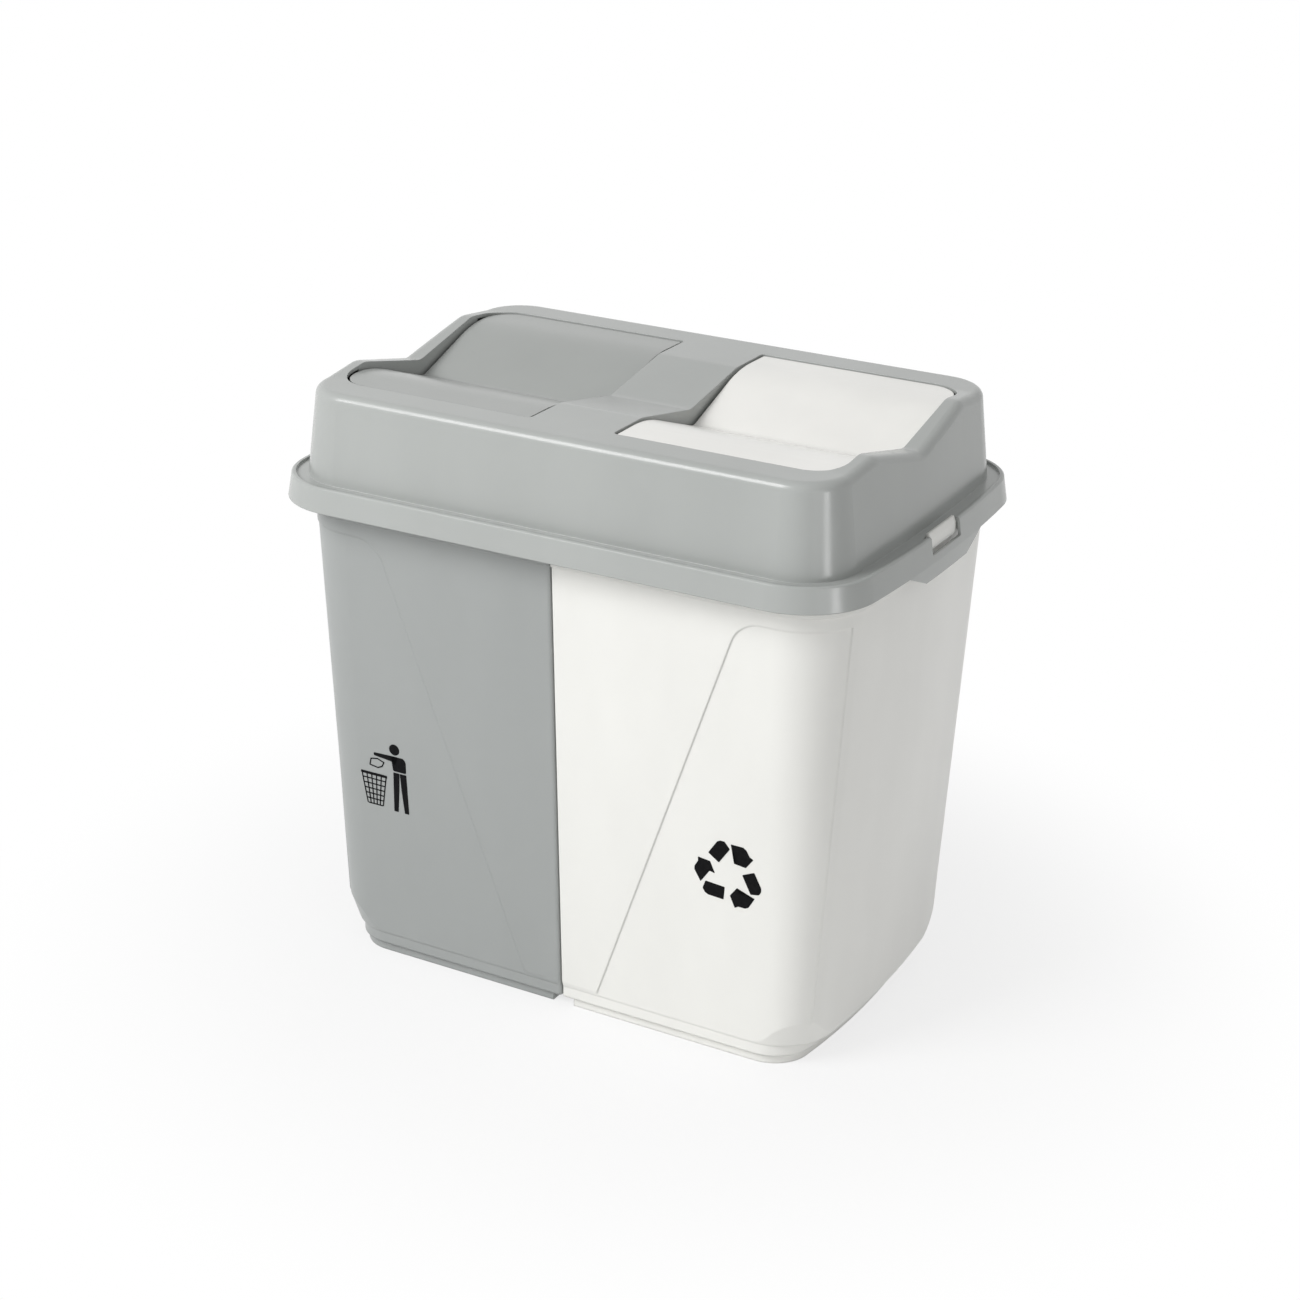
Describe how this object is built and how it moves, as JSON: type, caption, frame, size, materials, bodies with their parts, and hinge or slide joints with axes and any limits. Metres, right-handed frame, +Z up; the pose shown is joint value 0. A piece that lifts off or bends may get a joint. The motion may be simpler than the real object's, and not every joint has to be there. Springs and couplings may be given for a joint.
{
  "type": "double recycling bin",
  "caption": "Free-standing bin of two drafted plastic buckets side by side under one lift-off lid frame, with a V-shaped swing flap over each bucket.",
  "frame": {"origin": "on the floor, in the middle of the footprint of both buckets", "axes": "+X along the length towards the white bucket, -Y towards the front with the pictograms, +Z up"},
  "size_m": [0.5198, 0.358, 0.4982],
  "materials": {
    "bucket_grey": "satin",
    "bucket_white": "satin",
    "lid_grey": "satin",
    "flap_grey": "satin",
    "flap_white": "satin"
  },
  "bodies": {
    "bucket_left": {"bucket_left": "bucket_grey"},
    "bucket_right": {"bucket_right": "bucket_white"},
    "lid": {"lid_frame": "lid_grey"},
    "flap_left": {"flap_left": "flap_grey"},
    "flap_right": {"flap_right": "flap_white"}
  },
  "joints": [
    {"name": "bucket_right_lift", "type": "slide", "parent": "bucket_left", "child": "bucket_right", "axis": [0, 0, 1], "range_m": [0, 0.06]},
    {"name": "lid_lift", "type": "slide", "parent": "bucket_right", "child": "lid", "axis": [0, 0, 1], "range_m": [0, 0.06]},
    {"name": "flap_left_hinge", "type": "hinge", "parent": "lid", "child": "flap_left", "pos_m": [-0.127, 0, 0.4595], "axis": [1, 0, 0], "range_deg": [-75, 75]},
    {"name": "flap_right_hinge", "type": "hinge", "parent": "lid", "child": "flap_right", "pos_m": [0.127, 0, 0.4595], "axis": [1, 0, 0], "range_deg": [-75, 75]}
  ]
}
